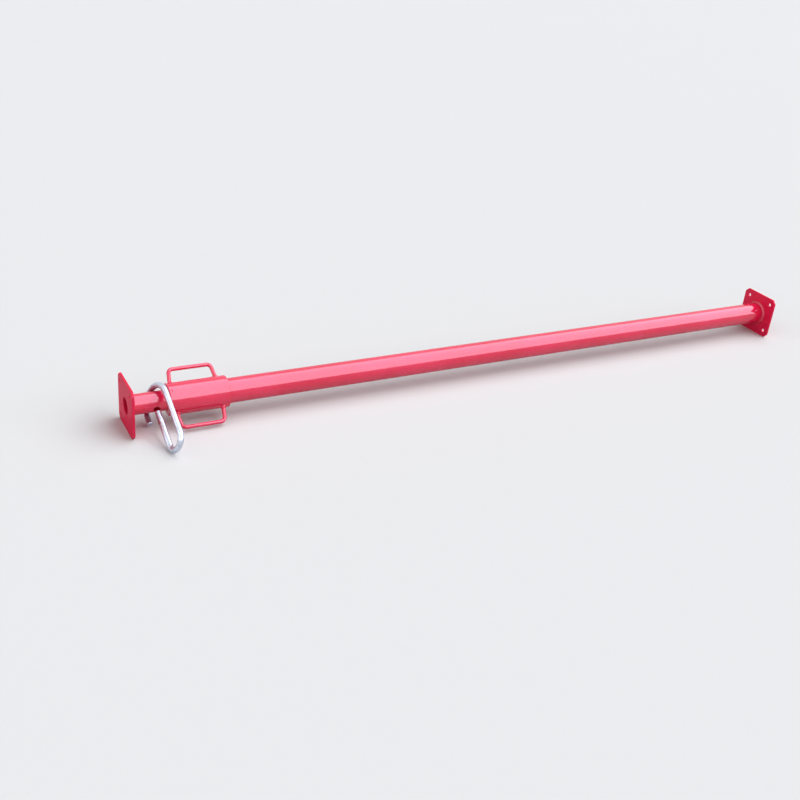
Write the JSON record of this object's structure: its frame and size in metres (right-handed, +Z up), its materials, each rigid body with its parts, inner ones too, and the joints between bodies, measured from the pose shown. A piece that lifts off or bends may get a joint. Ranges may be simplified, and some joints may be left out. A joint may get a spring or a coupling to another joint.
{
  "type": "adjustable steel prop",
  "caption": "Telescopic steel prop with square end plates, a covered sleeve nut with two bar handles and a captive bent locking pin, closed and lying down.",
  "frame": {"origin": "centre of the base plate's outer face, on the tubes' common axis", "axes": "+X along the tubes from the base plate to the head plate, +Z up with the prop lying on the edges of both plates, +Y towards the side where the pin's loop lies"},
  "size_m": [1.95, 0.2205, 0.12],
  "materials": {
    "red_paint": "glossy red paint, scuffed",
    "zinc_plate": "bright zinc plating"
  },
  "bodies": {
    "outer": {"outer_tube": "red_paint", "base_plate": "red_paint", "base_weld": "red_paint", "guide_ring": "red_paint"},
    "washer": {"thrust_washer": "red_paint"},
    "sleeve": {"sleeve_tube": "red_paint", "sleeve_nut": "red_paint", "sleeve_nut_weld": "red_paint", "sleeve_cap": "red_paint", "cap_plug_welds": "red_paint", "handle_near": "red_paint", "handle_near_welds": "red_paint", "handle_far": "red_paint", "handle_far_welds": "red_paint"},
    "inner": {"inner_tube": "red_paint", "stop_ring": "red_paint", "head_plate": "red_paint", "head_weld": "red_paint"},
    "pin": {"locking_pin": "zinc_plate"}
  },
  "joints": [
    {"name": "sleeve_turn", "type": "hinge", "parent": "washer", "child": "sleeve", "pos_m": [1.784, 0, 0], "axis": [1, 0, 0], "range_deg": [0, 3600]},
    {"name": "sleeve_lift", "type": "slide", "parent": "outer", "child": "washer", "axis": [1, 0, 0], "range_m": [0, 0.08]},
    {"name": "tube_extension", "type": "slide", "parent": "washer", "child": "inner", "axis": [1, 0, 0], "range_m": [0, 1.48]},
    {"name": "pin_push", "type": "slide", "parent": "inner", "child": "pin", "axis": [0, -0.9205, 0.3907], "range_m": [0, 0.104]}
  ],
  "couplings": [
    {"joint": "sleeve_lift", "follows": "sleeve_turn", "m_per_rad": 0.0012732}
  ]
}
